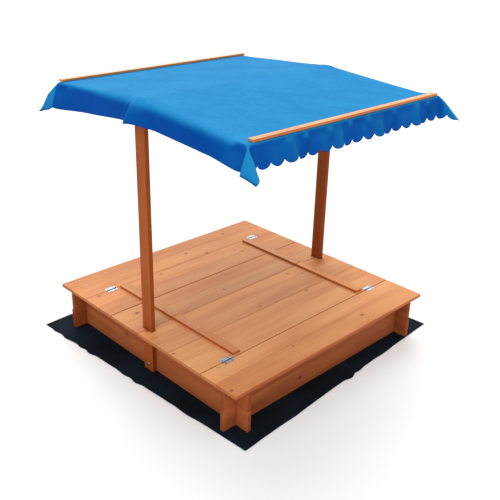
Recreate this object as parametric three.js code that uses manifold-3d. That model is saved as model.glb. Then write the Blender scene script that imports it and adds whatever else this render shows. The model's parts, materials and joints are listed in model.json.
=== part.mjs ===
// A wooden sandbox with a lid that folds open into two benches, and a tilting fabric canopy.
// Millimetres, +Z up. The lid's planks run along X, the posts stand at -X and +X, and each half
// of the lid (rear at +Y, front at -Y) is a fixed seat strip, a folding seat flap and a backrest.
// The origin is on the ground, under the centre of the lid.
import * as THREE from "three";
import { mergeVertices } from "three/addons/utils/BufferGeometryUtils.js";
import Module from "manifold-3d";

const wasm = await Module();
wasm.setup();

// Driving dimensions.
const LID_SIDE = 1200;
const LID_TOP = 203;
const PLANK_T = 15;
const STRIP_GAP = 2.4; // between two strips of the lid that turn against each other
const FIT_GAP = 0.3; // between pieces that touch
const CHAMFER = 1.5;
const TONGUE = 5; // the glued tongue between two planks of one strip, wide and thick
const SEAMS = { rear: [104, 300, 504], front: [74, 292, 488] }; // plank seams, from the middle out

const SHEET_SIDE = 1300;
const SHEET_T = 1;
const SHEET_TURN = THREE.MathUtils.degToRad(3.4); // the sheet lies a little askew

const WALL_T = 18;
const WALL_OUT = 532; // outer face of each wall from the middle
const WALL_ENDS = { lower: 598, upper: 594 }; // half-lengths: the walls run past each other

const POST_W = 60;
const POST_T = 20;
const POST_SLOT = 3; // clearance round a post in the lid
const PIVOT_Z = 1128;
const PIVOT_R = 4;
const PIVOT_HOLE_R = 4.2;
const BOLT_HEIGHTS = [30, 150]; // one coach bolt in each tier
const BOLT_R = 3;
const BOLT_HOLE_R = 3.2;
const BOLT_L = 34;
const BOLT_HEAD = { radius: 8, height: 4 };
const PIVOT_L = 54;
const PIVOT_HEAD = { radius: 9, height: 3.5 };
const NUT_R = 7.5;
const NUT_T = 6.5;

const BATTEN_W = 40;
const BATTEN_T = 12;
const BATTEN_X = 398;
const BATTEN_START = 2;
const BATTEN_END = 390;

const HINGE_X = 460;
const HINGE_L = 52;
const LEAF_W = 17.5;
const LEAF_T = 1.5;
const KNUCKLE_R = 2.5;
const PIN_R = 1.2;
const PIN_BORE_R = 1.4;
const HINGE_LIFT = 0.2; // air under a leaf

const ARM_T = 20;
const ARM_H = 40;
const RAIL_T = 21;
const RAIL_H = 38.3;
const RAIL_TOP = 1150.3;
const STRIP_W = 26;
const STRIP_H = 10;
const STRIP_HALF = 533;
const STRIP_OUT = 588; // outer edge of the clamp strips
const RIDGE_W = 20;
const RIDGE_TOP = 1187.5;

const CLOTH_T = 2;
const CLOTH_GAP = 0.5;
const CLOTH_X = 558.5; // outer face of the side valances
const HEM_Z = 1048;
const FLAP_REACH = 88; // how far a corner flap stands out along the diagonal
const FLAP_TIP_Z = 1030;

// Worked out from those.
const BAND = LID_SIDE / 6;
const LID_UNDER = LID_TOP - PLANK_T;
const TIER_H = (LID_UNDER - FIT_GAP - SHEET_T) / 2;
const WALL_MID = WALL_OUT - WALL_T / 2;
const POST_IN = WALL_OUT;
const POST_OUT = POST_IN + POST_T;
const POST_MID = (POST_IN + POST_OUT) / 2;
const ARM_MID = POST_IN - CLOTH_GAP - ARM_T / 2;
const ARM_TOP = PIVOT_Z + ARM_H / 2;
const FRAME_HALF = ARM_MID + ARM_T / 2;
const CLOTH_Y = STRIP_OUT - CLOTH_GAP; // outer face of the end valances
const RAIL_OUT = CLOTH_Y - CLOTH_T - CLOTH_GAP;
const CLAMP_Z = RAIL_TOP + CLOTH_GAP; // underside of the cloth on the end rails
const HINGE_AXIS = KNUCKLE_R + HINGE_LIFT; // height of a pin over the face that its leaves lie on

const X = new THREE.Vector3(1, 0, 0);
const Y = new THREE.Vector3(0, 1, 0);
const Z = new THREE.Vector3(0, 0, 1);
const ALONG_X = new THREE.Matrix4().makeBasis(Y, Z, X); // an outline in Y and Z, pushed along X
const ALONG_Y = new THREE.Matrix4().makeBasis(X, Z, Y.clone().negate()); // in X and Z, along Y

const MATERIALS = {
  lid: () => finish(0xd79b6e, 0.75),
  wall: () => finish(0xb8733a, 0.8),
  post: () => finish(0xb06c30, 0.8),
  trim: () => finish(0xe6b080, 0.75),
  frame: () => finish(0xc89058, 0.8),
  cloth: () => finish(0x3c9cd8, 0.7),
  sheet: () => finish(0x1b2a33, 0.9),
  zinc: () => finish(0xc8ccd0, 0.35, 0.9),
};

function finish(color, roughness, metalness = 0) {
  return new THREE.MeshStandardMaterial({ color, roughness, metalness });
}

const sandbox = new THREE.Group();

function add(name, material, geometry, x = 0, y = 0, z = 0) {
  const mesh = new THREE.Mesh(geometry, MATERIALS[material]());
  mesh.name = name;
  mesh.position.set(x, y, z);
  sandbox.add(mesh);
  return mesh;
}

// Joining and cutting.
function solid(geometry) {
  const bare = geometry.index ? geometry.toNonIndexed() : geometry.clone();
  bare.deleteAttribute("normal");
  bare.deleteAttribute("uv");
  const merged = mergeVertices(bare, 1e-3);
  const vertProperties = merged.attributes.position.array;
  const triVerts = new Uint32Array(merged.index.array);
  return new wasm.Manifold(new wasm.Mesh({ numProp: 3, vertProperties, triVerts }));
}

function geometryOf(shape) {
  const mesh = shape.getMesh();
  const geometry = new THREE.BufferGeometry();
  geometry.setAttribute("position", new THREE.BufferAttribute(mesh.vertProperties, 3));
  geometry.setIndex(new THREE.BufferAttribute(mesh.triVerts, 1));
  geometry.computeVertexNormals();
  return geometry;
}

// Basic forms. An outline always runs anticlockwise, whichever way its points are given.
function outline(points) {
  const corners = points.map(([a, b]) => new THREE.Vector2(a, b));
  if (THREE.ShapeUtils.isClockWise(corners)) corners.reverse();
  return new THREE.Shape(corners);
}

function hole(x, y, radius) {
  return new THREE.Path().absarc(x, y, radius, 0, 2 * Math.PI, true);
}

function pushed(shape, depth, way, curveSegments = 12) {
  const options = { depth, bevelEnabled: false, curveSegments };
  const geometry = new THREE.ExtrudeGeometry(shape, options);
  return geometry.translate(0, 0, -depth / 2).applyMatrix4(way);
}

function block(low, high) {
  const size = high.map((value, i) => value - low[i]);
  const middle = high.map((value, i) => (value + low[i]) / 2);
  return new THREE.BoxGeometry(...size).translate(...middle);
}

function rodX(radius, from, to, sides = 16) {
  const geometry = new THREE.CylinderGeometry(radius, radius, to - from, sides);
  return geometry.rotateZ(-Math.PI / 2).translate((from + to) / 2, 0, 0);
}

// A rectangle with its four corners cut at 45 degrees.
function chamfered(x0, x1, y0, y1, cut = CHAMFER) {
  return outline([
    [x0 + cut, y0], [x1 - cut, y0], [x1, y0 + cut], [x1, y1 - cut],
    [x1 - cut, y1], [x0 + cut, y1], [x0, y1 - cut], [x0, y0 + cut],
  ]);
}

// The ground sheet, under everything.
function groundSheet() {
  const half = SHEET_SIDE / 2;
  const sheet = block([-half, -half, 0], [half, half, SHEET_T]);
  add("ground_sheet", "sheet", sheet).rotation.z = SHEET_TURN;
}

// A wall board on edge. Its two slots take the boards that cross it: from its top edge in the
// side walls, and from its bottom edge in the front and rear walls.
function wallBoard(tier, slotsOnTop, bolt) {
  const half = WALL_ENDS[tier];
  const inner = WALL_MID - WALL_T / 2 - FIT_GAP;
  const outer = WALL_MID + WALL_T / 2 + FIT_GAP;
  const slot = TIER_H / 2 + (slotsOnTop ? -FIT_GAP / 2 : FIT_GAP / 2);
  const edge = slotsOnTop ? TIER_H : 0;
  const board = outline([
    [half, edge], [outer, edge], [outer, slot], [inner, slot], [inner, edge],
    [-inner, edge], [-inner, slot], [-outer, slot], [-outer, edge], [-half, edge],
    [-half, TIER_H - edge], [half, TIER_H - edge],
  ]);
  if (bolt !== null) board.holes.push(hole(0, bolt, BOLT_HOLE_R));
  return board;
}

function walls() {
  ["lower", "upper"].forEach((tier, i) => {
    const base = SHEET_T + i * TIER_H;
    const side = wallBoard(tier, true, BOLT_HEIGHTS[i] - base);
    const end = wallBoard(tier, false, null);
    for (const [name, sign] of [["left", -1], ["right", 1]]) {
      add(`${name}_wall_${tier}`, "wall", pushed(side, WALL_T, ALONG_X), sign * WALL_MID, 0, base);
    }
    for (const [name, sign] of [["front", -1], ["rear", 1]]) {
      add(`${name}_wall_${tier}`, "wall", pushed(end, WALL_T, ALONG_Y), 0, sign * WALL_MID, base);
    }
  });
}

// A lid plank between two distances from the middle, for the rear half. The inner plank of a
// strip has the groove in its outer edge, and the outer plank has the tongue.
function plankOutline(from, to, joint) {
  const mid = LID_UNDER + PLANK_T / 2;
  const t = TONGUE / 2;
  const cut = CHAMFER;
  const points = [[from + cut, LID_UNDER], [to - cut, LID_UNDER], [to, LID_UNDER + cut]];
  if (joint === "groove") {
    const deep = to - TONGUE - FIT_GAP;
    const g = t + FIT_GAP;
    points.push([to, mid - g], [deep, mid - g], [deep, mid + g], [to, mid + g]);
  }
  points.push([to, LID_TOP - cut], [to - cut, LID_TOP], [from + cut, LID_TOP]);
  points.push([from, LID_TOP - cut]);
  if (joint === "tongue") {
    points.push([from, mid + t], [from - TONGUE, mid + t], [from - TONGUE, mid - t], [from, mid - t]);
  }
  points.push([from, LID_UNDER + cut]);
  return points;
}

// A plank of the rear half, or its mirror image for the front half.
function plank(name, side, from, to, joint) {
  const sign = side === "rear" ? 1 : -1;
  const points = plankOutline(from, to, joint).map(([y, z]) => [sign * y, z]);
  let geometry = pushed(outline(points), LID_SIDE, ALONG_X);
  if (from < POST_W / 2) geometry = slottedForPosts(geometry);
  add(name, "lid", geometry);
}

function slottedForPosts(geometry) {
  const reach = POST_W / 2 + POST_SLOT;
  let cut = solid(geometry);
  for (const sign of [-1, 1]) {
    const near = sign * (POST_IN - POST_SLOT);
    const far = sign * (POST_OUT + POST_SLOT);
    const low = [Math.min(near, far), -reach, LID_UNDER - PLANK_T];
    const high = [Math.max(near, far), reach, LID_TOP + PLANK_T];
    cut = cut.subtract(solid(block(low, high)));
  }
  return geometryOf(cut);
}

function lidPlanks(side) {
  const strips = ["backrest", "flap", "seat"];
  strips.forEach((strip, i) => {
    const from = i * BAND + STRIP_GAP / 2;
    const to = (i + 1) * BAND - (i < 2 ? STRIP_GAP / 2 : 0);
    const seam = SEAMS[side][i];
    plank(`${side}_${strip}_plank_inner`, side, from, seam - FIT_GAP / 2, "groove");
    plank(`${side}_${strip}_plank_outer`, side, seam + FIT_GAP / 2, to, "tongue");
  });
}

// Battens: screwed to a backrest's two planks, and lying loose over the flap.
function battens(side) {
  const sign = side === "rear" ? 1 : -1;
  const z0 = LID_TOP + HINGE_LIFT;
  const section = chamfered(-BATTEN_W / 2, BATTEN_W / 2, z0, z0 + BATTEN_T);
  const geometry = pushed(section, BATTEN_END - BATTEN_START, ALONG_Y);
  const y = (sign * (BATTEN_START + BATTEN_END)) / 2;
  add(`${side}_left_batten`, "lid", geometry, -BATTEN_X, y, 0);
  add(`${side}_right_batten`, "lid", geometry.clone(), BATTEN_X, y, 0);
}

// One leaf of a butt hinge, with its pin along X through the origin. The leaf stretches to +Y
// below the pin, and has either the two end knuckles or the middle one with the pin in it.
function hingeLeaf(hasPin) {
  const end = HINGE_L / 2;
  const third = HINGE_L / 6;
  const bottom = -KNUCKLE_R;
  const clear = KNUCKLE_R + FIT_GAP;
  let leaf = solid(block([-end, clear, bottom], [end, LEAF_W, bottom + LEAF_T]));
  const knuckles = hasPin
    ? [[-third + FIT_GAP / 2, third - FIT_GAP / 2]]
    : [[-end, -third - FIT_GAP / 2], [third + FIT_GAP / 2, end]];
  for (const [from, to] of knuckles) {
    leaf = leaf.add(solid(rodX(KNUCKLE_R, from, to)));
    leaf = leaf.add(solid(block([from, 0, bottom], [to, clear + 1, bottom + LEAF_T])));
  }
  if (hasPin) return geometryOf(leaf.add(solid(rodX(PIN_R, -end, end))));
  return geometryOf(leaf.subtract(solid(rodX(PIN_BORE_R, -end - 1, end + 1))));
}

// A hinge's two leaves. onTop: it lies on the lid, and otherwise under it, upside down.
// The leaf called outer is the one further from the lid's middle.
function hinge(name, side, x, y, onTop, outerName, innerName) {
  const sign = side === "rear" ? 1 : -1;
  const z = onTop ? LID_TOP + HINGE_AXIS : LID_UNDER - HINGE_AXIS;
  for (const outer of [true, false]) {
    const geometry = hingeLeaf(!outer);
    if (!onTop) geometry.rotateX(Math.PI);
    const facesRear = (outer ? sign : -sign) > 0;
    if (facesRear !== onTop) geometry.rotateZ(Math.PI);
    add(`${name}_${outer ? outerName : innerName}_leaf`, "zinc", geometry, x, sign * y, z);
  }
}

function hinges(side) {
  for (const [hand, x] of [["left", -HINGE_X], ["right", HINGE_X]]) {
    hinge(`${side}_${hand}_top_hinge`, side, x, 2 * BAND, true, "seat", "flap");
    hinge(`${side}_${hand}_under_hinge`, side, x, BAND, false, "flap", "backrest");
  }
}

// Posts, round at the top so that the canopy can tilt over them.
function posts() {
  const half = POST_W / 2;
  const shape = new THREE.Shape();
  shape.moveTo(-half, SHEET_T);
  shape.lineTo(half, SHEET_T);
  shape.lineTo(half, PIVOT_Z);
  shape.absarc(0, PIVOT_Z, half, 0, Math.PI);
  shape.lineTo(-half, SHEET_T);
  shape.holes.push(hole(0, PIVOT_Z, PIVOT_HOLE_R));
  for (const z of BOLT_HEIGHTS) shape.holes.push(hole(0, z, BOLT_HOLE_R));
  const geometry = pushed(shape, POST_T, ALONG_X, 16);
  add("left_post", "post", geometry, -POST_MID);
  add("right_post", "post", geometry.clone(), POST_MID);
}

// A round-headed bolt along -X, with the underside of its head at the origin.
function bolt(radius, length, head) {
  const profile = [
    [0, -length], [radius, -length], [radius, 0], [head.radius, 0],
    [head.radius * 0.85, head.height * 0.6], [head.radius * 0.5, head.height * 0.92],
    [0, head.height],
  ];
  const points = profile.map(([r, h]) => new THREE.Vector2(r, h));
  return new THREE.LatheGeometry(points, 16).rotateZ(-Math.PI / 2);
}

function hexagonNut() {
  const corners = [0, 1, 2, 3, 4, 5].map((i) => {
    const angle = (i * Math.PI) / 3;
    return [NUT_R * Math.cos(angle), NUT_R * Math.sin(angle)];
  });
  const nut = outline(corners);
  nut.holes.push(hole(0, 0, PIVOT_HOLE_R));
  return nut;
}

// A coach bolt through each post into each tier, and the pivot bolts with their nuts.
function bolts() {
  for (const [hand, sign] of [["left", -1], ["right", 1]]) {
    const turn = sign > 0 ? 0 : Math.PI;
    const head = sign * (POST_OUT + CLOTH_GAP / 2);
    BOLT_HEIGHTS.forEach((z, i) => {
      const name = `${hand}_post_bolt_${i ? "upper" : "lower"}`;
      add(name, "zinc", bolt(BOLT_R, BOLT_L, BOLT_HEAD), head, 0, z).rotation.z = turn;
    });
    const pivot = bolt(PIVOT_R, PIVOT_L, PIVOT_HEAD);
    add(`${hand}_pivot_bolt`, "zinc", pivot, head, 0, PIVOT_Z).rotation.z = turn;
    const nutX = sign * (FRAME_HALF - ARM_T - FIT_GAP - NUT_T / 2);
    add(`${hand}_pivot_nut`, "zinc", pushed(hexagonNut(), NUT_T, ALONG_X), nutX, 0, PIVOT_Z);
  }
}

// The canopy's frame: two arms on the posts, a ridge bar on the arms, an end rail across the
// ends of the arms, and a strip that clamps the cloth on each end rail.
function canopyFrame() {
  const rail = { from: RAIL_OUT - RAIL_T, to: RAIL_OUT };
  const armHalf = rail.from - FIT_GAP;
  const arm = chamfered(-armHalf, armHalf, PIVOT_Z - ARM_H / 2, ARM_TOP);
  arm.holes.push(hole(0, PIVOT_Z, PIVOT_HOLE_R));
  const armGeometry = pushed(arm, ARM_T, ALONG_X);
  add("left_canopy_arm", "frame", armGeometry, -ARM_MID);
  add("right_canopy_arm", "frame", armGeometry.clone(), ARM_MID);

  const ridge = chamfered(-RIDGE_W / 2, RIDGE_W / 2, ARM_TOP + FIT_GAP, RIDGE_TOP);
  add("ridge_bar", "frame", pushed(ridge, 2 * FRAME_HALF, ALONG_X));

  const stripBottom = CLAMP_Z + CLOTH_T + CLOTH_GAP;
  for (const [name, sign] of [["front", -1], ["rear", 1]]) {
    const railShape = chamfered(-RAIL_T / 2, RAIL_T / 2, RAIL_TOP - RAIL_H, RAIL_TOP);
    const railGeometry = pushed(railShape, 2 * FRAME_HALF, ALONG_X);
    add(`${name}_end_rail`, "frame", railGeometry, 0, sign * (rail.from + rail.to) / 2, 0);
    const strip = chamfered(-STRIP_W / 2, STRIP_W / 2, stripBottom, stripBottom + STRIP_H);
    const stripGeometry = pushed(strip, 2 * STRIP_HALF, ALONG_X);
    add(`${name}_clamp_strip`, "trim", stripGeometry, 0, sign * (STRIP_OUT - STRIP_W / 2), 0);
  }
}

// The cloth's line over the frame, half of it, from the ridge out: [distance, height] of the
// underside plus the given thickness.
function clothLine(thick) {
  const ridge = RIDGE_TOP + CLOTH_GAP + thick;
  const clamp = CLAMP_Z + thick;
  const out = CLOTH_Y - CLOTH_T + thick;
  return [[RIDGE_W / 2 + 1, ridge], [STRIP_OUT - STRIP_W - 2, clamp], [out, clamp], [out, HEM_Z]];
}

function mirrored(line) {
  return [...line.map(([y, z]) => [-y, z]).reverse(), ...line];
}

// A corner of the uncut cloth folds into a flap that stands out along the diagonal.
function cornerFlap(signX, signY) {
  const top = CLAMP_Z;
  const inside = -CLOTH_T * 2;
  const shape = outline([[inside, HEM_Z], [FLAP_REACH, FLAP_TIP_Z], [0, top], [inside, top]]);
  const flap = pushed(shape, CLOTH_T * 1.5, ALONG_Y);
  flap.rotateZ(Math.atan2(signY, signX));
  return solid(flap.translate(signX * (CLOTH_X - 1), signY * (CLOTH_Y - 1), 0));
}

// The canopy cloth: a shallow gable with a valance on all four sides, open below.
function canopyCloth() {
  const over = mirrored(clothLine(CLOTH_T));
  const under = mirrored(clothLine(0));
  const gable = outline([...over, ...under.reverse()]);
  const side = outline(over);
  let cloth = solid(pushed(gable, 2 * CLOTH_X, ALONG_X));
  for (const sign of [-1, 1]) {
    const panel = pushed(side, CLOTH_T, ALONG_X);
    cloth = cloth.add(solid(panel.translate(sign * (CLOTH_X - CLOTH_T / 2), 0, 0)));
    for (const signY of [-1, 1]) cloth = cloth.add(cornerFlap(sign, signY));
  }
  add("canopy_cloth", "cloth", geometryOf(cloth));
}

groundSheet();
walls();
for (const side of ["rear", "front"]) {
  lidPlanks(side);
  battens(side);
  hinges(side);
}
posts();
bolts();
canopyFrame();
canopyCloth();

export default sandbox;
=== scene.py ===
"""A wooden sandbox with a folding bench lid and a blue canopy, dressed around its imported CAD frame.

Metres, +Z up. The planks of the lid run along X, the posts stand at -X and +X, the rear is +Y.
"""

import json
import math

import bmesh
import bpy
import numpy as np
from mathutils import Matrix, Vector


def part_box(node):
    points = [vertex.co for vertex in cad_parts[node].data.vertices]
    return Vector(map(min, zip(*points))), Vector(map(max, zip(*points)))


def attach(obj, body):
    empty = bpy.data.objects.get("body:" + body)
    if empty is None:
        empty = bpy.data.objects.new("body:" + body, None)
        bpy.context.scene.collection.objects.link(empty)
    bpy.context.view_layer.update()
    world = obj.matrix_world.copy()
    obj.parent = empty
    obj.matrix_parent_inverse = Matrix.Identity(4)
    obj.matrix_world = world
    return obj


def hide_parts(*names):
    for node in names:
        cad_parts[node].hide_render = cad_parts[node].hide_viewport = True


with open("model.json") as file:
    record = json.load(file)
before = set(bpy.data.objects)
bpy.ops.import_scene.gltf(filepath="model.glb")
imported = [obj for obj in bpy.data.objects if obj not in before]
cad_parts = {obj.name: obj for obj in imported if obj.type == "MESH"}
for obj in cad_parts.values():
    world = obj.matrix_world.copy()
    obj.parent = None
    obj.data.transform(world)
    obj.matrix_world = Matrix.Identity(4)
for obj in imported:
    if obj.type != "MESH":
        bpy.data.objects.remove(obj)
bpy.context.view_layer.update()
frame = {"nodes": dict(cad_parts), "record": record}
scene = bpy.context.scene
rng = np.random.default_rng(7)

# ------------ dimensions and settings


def rgb(red, green, blue):
    """An 8-bit display colour as a linear one."""
    def linear(value):
        share = value / 255
        return share / 12.92 if share <= 0.04045 else ((share + 0.055) / 1.055) ** 2.4

    return (linear(red), linear(green), linear(blue), 1.0)


# Camera, floor and light.
CAMERA_AT = Vector((-2.1277, -2.1881, 1.8222))
CAMERA_AZIMUTH = math.radians(-44.87)
CAMERA_DOWN = math.radians(24.87)
CAMERA_ROLL = math.radians(1.56)
CAMERA_LENS = 52.465
FLOOR_HALF = 60.0
FLOOR_Z = -0.0005
SKY = 0.5  # how strongly the world lights the object
BACKDROP = 1.0  # how bright the world looks behind it
SUNS = (
    # name, compass direction, height and softness in degrees, and strength
    ("overhead", 0, 85, 90, 0.8),
    ("rear", 56, 44, 50, 1.95),
    ("left", 190, 40, 50, 0.62),
    ("front", 243, 54, 60, 1.05),
)

# Wood: growth rings and knots, what the stain does to each, and the painted shade of the narrow sides.
RING_WIDTH = 0.011
PITH_DEPTH = 0.055
KNOT_CELL = (0.42, 0.085, 1.0)
RIM_TINT = (0.62, 0.50, 0.42, 1)
KNOT_TINT = (0.46, 0.34, 0.27, 1)
# painted shade: the colour that a board's narrow sides are darkened towards
SIDE_SHADE_TINT = (0.69, 0.42, 0.27, 1)
BLUSH_TINT = (0.84, 0.68, 0.60, 1)
FLECK_TINT = (0.55, 0.42, 0.36, 1)
TONES = {
    # kind: lighter and darker colour of the stained wood, the share of cells with a knot,
    # how much darker the narrow sides are painted as painted shade, and the gloss of the stain
    "lid": (rgb(214, 148, 93), rgb(186, 108, 59), 0.34, 0.85, 0.17),
    "wall": (rgb(172, 94, 51), rgb(134, 62, 32), 0.3, 0.4, 0.14),
    "post": (rgb(160, 79, 30), rgb(132, 58, 21), 0.3, 0.35, 0.08),
    "trim": (rgb(226, 178, 138), rgb(202, 146, 104), 0.0, 0.95, 0.12),
    "frame": (rgb(168, 112, 66), rgb(134, 80, 44), 0.2, 0.3, 0.14),
}
WOOD_INPUTS = {
    "Vector": "Vector",
    "End": "Float",
    "Side": "Float",
    "Light": "Color",
    "Dark": "Color",
    "Knots": "Float",
}
WOOD_OUTPUTS = {"Color": "Color", "Height": "Float", "Roughness": "Float"}

# Boards.
BEVEL = 0.0009
LID_BEVEL = 0.0006
STRIP_BEVEL = 0.0012
POST_SLOT = 0.003  # the gap round a post in its notch in the lid
FIT = 0.0003  # the gap between boards that cross
TONGUE = 0.005
SEAM_GAPS = {
    # where a seam lies along Y: how far each plank's edge stands back from its CAD place
    0.4: -0.0003,
    0.2: 0.0010,
    0.0: -0.0002,
    -0.2: -0.0003,
    -0.4: 0.0007,
}
POST_TOP_STEPS = 24

# Metal.
SCREW_SIDES = 20
SCREW_HEAD = (
    # share of the screw's radius, and height
    (0, -0.0006),
    (1, -0.0006),
    (1, 0.0003),
    (0.9, 0.0007),
    (0.55, 0.0009),
    (0, 0.0009),
)
RECESS_REACH = 0.62  # the recess's arms, as a share of the screw's radius
RECESS_HALF = 0.16  # half of an arm's width, as a share of its length
RECESS_TOP = 0.00094
SCREW_R = 0.0032
HINGE_SCREW_R = 0.0034
HINGE_SCREW_LIFT = 0.0013  # from the planks' face to the screw's seat in the leaf
HINGE_SCREW_REACH = 0.62  # how far out on its leaf a screw sits, from the pin
HINGE_Y = {"top": 0.4, "under": 0.2}
SEAT_SCREW_X = 0.520
BATTEN_SCREW_X = 0.398
# Screws: the distance from the middle along Y, and how far each strays along X.
SEAT_SCREWS = ((0.414, 0.004), (0.479, -0.003), (0.520, 0.002), (0.578, -0.002))
BATTEN_SCREWS = ((0.050, 0.003), (0.096, -0.004), (0.150, 0.002))
# Bolts: the radius of the shank and the height of the head.
BOLTS = {
    "post_bolt_lower": (0.003, 0.004),
    "post_bolt_upper": (0.003, 0.004),
    "pivot_bolt": (0.004, 0.0035),
}
BOLT_SIDES = 40
BOLT_STEPS = 8

# Canopy cloth. Its flat points are (s, t): s across, along the ridge, and t from the ridge
# towards the rear.
CLOTH_W = 1.290
CLOTH_L = 1.402
CLOTH_REARWARD = 0.015
CLOTH_THICK = 0.0008
ROWS = 148
SCALLOPS = 21
SCALLOP_DEPTH = 0.019
SCALLOP_STEPS = (0.0, 0.09, 0.29, 0.5, 0.71, 0.91)
COLUMNS = SCALLOPS * len(SCALLOP_STEPS) + 1
CORNER_EXTRA = 0.010  # how much longer the ends are at their corners
CORNER_EXTRA_FROM = 0.53
CORNER_SPREAD = 0.005  # how much wider the sides are there
CORNER_SPREAD_FROM = 0.615
RIDGE_HALF = 0.014  # half of the flat band over the ridge bar
RIDGE_LIFT = 0.0022  # how far the middle of the cloth lies above the bar, and above the rails
CLAMP_LIFT = 0.0013
CLAMP_MARGIN = 0.002
PINNED_RIDGE = 0.018  # how far from the ridge's line the cloth is held
FOLD_FRONT = 0.556  # where the sides fold down, ahead of FOLD_START and past its run
FOLD_REAR = 0.537
FOLD_START = 0.03
FOLD_RUN = 0.5
FLARE = math.radians(7)
CORNER_JOIN = math.radians(14)
CORNERS = {
    # (side, end): the cloth's direction along the two creases of that corner, and where
    # they run, as shares of the way round it
    (-1, -1): ((0.50, 0.22, -0.84), (0.14, 0.64, -0.755), 0.29, 0.635),
    (1, -1): ((0.56, 0.38, -0.735), (0.38, 0.56, -0.735), 0.41, 0.59),
    (-1, 1): ((0.34, 0.08, -0.94), (0.31, 0.55, -0.775), 0.25, 0.56),
    (1, 1): ((0.34, 0.08, -0.94), (0.31, 0.55, -0.775), 0.25, 0.56),
}
SETTLE_FRAMES = 30
MASS = 0.002
TENSION = 1500
SHEAR = 300
BENDING = 2.0
DAMPING = 10
TOUCH = 0.0015  # how close the cloth comes to what it rests on
RESTS_ON = ("post", "pivot_bolt", "canopy_arm")
SOFTENING_PASSES = 14

# The cloth's set folds.
VALANCE = 0.103
WAVE_DEPTH = 0.019
PINCHES = (-0.370, -0.285, -0.150, -0.040, 0.065, 0.235, 0.390, 0.460)
PINCH_DEPTH = 0.013
PINCH_DIP = 0.006
INWARD_LIMIT = -0.0025
REAR_LEAN = 0.34  # how far the stiff ends of the rear valance lean out, and how far they rise
REAR_RISE = 0.10
SIDE_LAP = 0.016  # how far in from the side's fold its folds begin
PLEAT_DEPTH = 0.034
PLEAT_VALLEY = 0.006
SIDE_RIPPLE = 0.003
SIDE_FLARE = 0.022
STREAK_DEPTH = 0.0011
THREAD = 0.0011
STITCH = 0.0045

# Ground sheet.
SHEET_SIDE = 1.300
SHEET_TURN = math.radians(3.4)
SHEET_SHIFT = 0.020
SHEET_THICK = 0.0008
SHEET_CELLS = 110
SHEET_MARGIN = 0.85  # the share of the half side where the uneven edge begins
SHEET_LIFT = 0.006
SHEET_HELD = 0.010  # how far past the posts it lies flat, and the run over which it comes loose
SHEET_LOOSE = 0.07
SHEET_THREAD = 0.0024
SHEET_BUMPS = (
    # edge (0 left, 1 right, 2 front, 3 rear), place along it, how far out, and half width
    (0, -0.33, -0.006, 0.060),
    (0, -0.02, 0.010, 0.030),
    (0, 0.06, -0.005, 0.030),
    (0, 0.30, 0.008, 0.025),
    (0, 0.37, -0.006, 0.025),
    (0, 0.48, 0.007, 0.030),
    (0, 0.57, -0.004, 0.020),
    (1, -0.25, -0.006, 0.050),
    (1, 0.22, 0.008, 0.050),
    (2, -0.35, -0.004, 0.080),
    (2, 0.02, 0.012, 0.028),
    (2, 0.09, -0.006, 0.030),
    (2, 0.30, 0.004, 0.060),
    (3, -0.10, 0.009, 0.040),
    (3, 0.33, -0.006, 0.050),
)

# ------------ small helpers


def smooth(value):
    """An even step from 0 to 1."""
    value = min(1.0, max(0.0, value))
    return value * value * (3 - 2 * value)


def bell(distance, width):
    return math.exp(-((distance / width) ** 2))


def wander(position, seed, scale):
    """A smooth wavy line between -1 and 1."""
    total = 0.0
    for k in range(1, 6):
        phase = math.sin(seed * 12.9 + k * 78.2) * 43.7
        total += math.sin(position * scale * k + phase) / k
    return total / 2.3


def grid_quads(columns, rows):
    """The quads of a grid of points."""
    return [
        (j * columns + i, j * columns + i + 1, (j + 1) * columns + i + 1, (j + 1) * columns + i)
        for j in range(rows - 1)
        for i in range(columns - 1)
    ]


def link_object(name, data):
    thing = bpy.data.objects.new(name, data)
    scene.collection.objects.link(thing)
    return thing


# ------------ node helpers


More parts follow.
